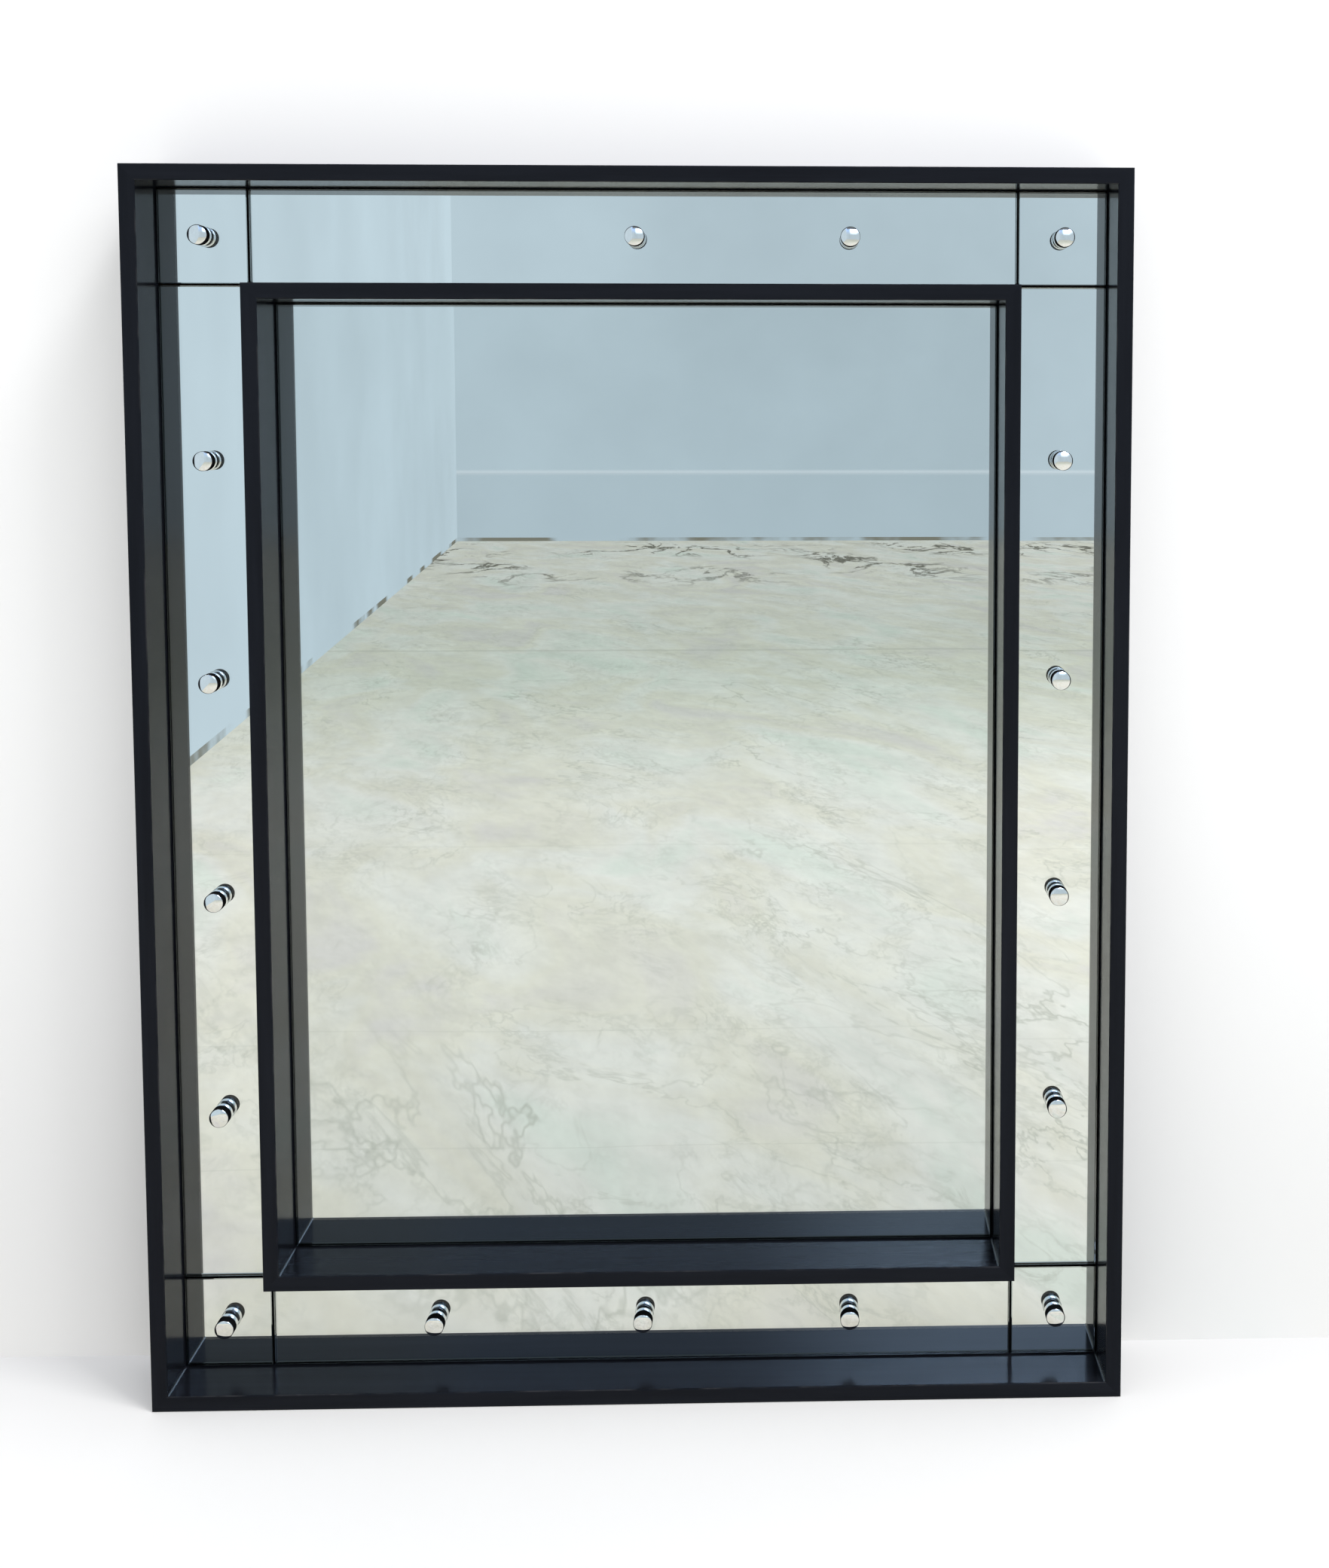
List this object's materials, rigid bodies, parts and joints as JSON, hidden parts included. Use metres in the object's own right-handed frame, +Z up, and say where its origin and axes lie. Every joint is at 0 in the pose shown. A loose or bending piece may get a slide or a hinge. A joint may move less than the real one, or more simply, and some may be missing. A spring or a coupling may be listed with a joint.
{
  "type": "wall mirror",
  "caption": "Wall mirror in a deep black box frame: mirror plates under chrome studs form a border, and an inner frame holds a sunk centre mirror.",
  "frame": {"origin": "middle of the bottom edge in the wall plane, the plane of the frame's back edges", "axes": "+X to the right seen from the front, +Y into the wall, +Z up; the front faces -Y"},
  "size_m": [0.8, 0.095, 1.014],
  "materials": {
    "black_lacquer": "gloss black lacquer over fine grain",
    "mirror_glass": "silvered back, ground arris",
    "chrome": "polished",
    "rubber": "matte",
    "nylon": "translucent",
    "fibreboard": "raw fibreboard",
    "pine": "planed",
    "foam": "foam tape",
    "zinc_steel": "zinc plated"
  },
  "bodies": {
    "mirror": {"outer_board_top": "black_lacquer", "outer_board_bottom": "black_lacquer", "outer_board_left": "black_lacquer", "outer_board_right": "black_lacquer", "inner_board_top": "black_lacquer", "inner_board_bottom": "black_lacquer", "inner_board_left": "black_lacquer", "inner_board_right": "black_lacquer", "corner_mirror_top_left": "mirror_glass", "corner_mirror_top_right": "mirror_glass", "corner_mirror_bottom_left": "mirror_glass", "corner_mirror_bottom_right": "mirror_glass", "strip_mirror_top": "mirror_glass", "strip_mirror_bottom": "mirror_glass", "strip_mirror_left": "mirror_glass", "strip_mirror_right": "mirror_glass", "centre_mirror": "mirror_glass", "stud_caps": "chrome", "stud_collars": "chrome", "stud_washers": "rubber", "stud_sleeves": "nylon", "border_board_top": "fibreboard", "border_board_bottom": "fibreboard", "border_board_left": "fibreboard", "border_board_right": "fibreboard", "centre_board": "fibreboard", "rail_top": "pine", "rail_bottom": "pine", "stile_left": "pine", "stile_right": "pine", "outer_mitre_splines": "pine", "inner_mitre_splines": "pine", "border_tape": "foam", "centre_tape": "foam", "stud_screws": "zinc_steel", "border_board_screws": "zinc_steel", "centre_board_screws": "zinc_steel", "brace_screws": "zinc_steel", "hanger_screws": "zinc_steel", "corner_braces": "zinc_steel", "hanger_strap_left": "zinc_steel", "hanger_strap_right": "zinc_steel"},
    "ring_left": {"hanger_ring_left": "zinc_steel"},
    "ring_right": {"hanger_ring_right": "zinc_steel"}
  },
  "joints": [
    {"name": "ring_left_swing", "type": "hinge", "parent": "mirror", "child": "ring_left", "pos_m": [-0.35, -0.0072, 0.845], "axis": [1, 0, 0], "range_deg": [0, 180]},
    {"name": "ring_right_swing", "type": "hinge", "parent": "mirror", "child": "ring_right", "pos_m": [0.35, -0.0072, 0.845], "axis": [1, 0, 0], "range_deg": [0, 180]}
  ]
}
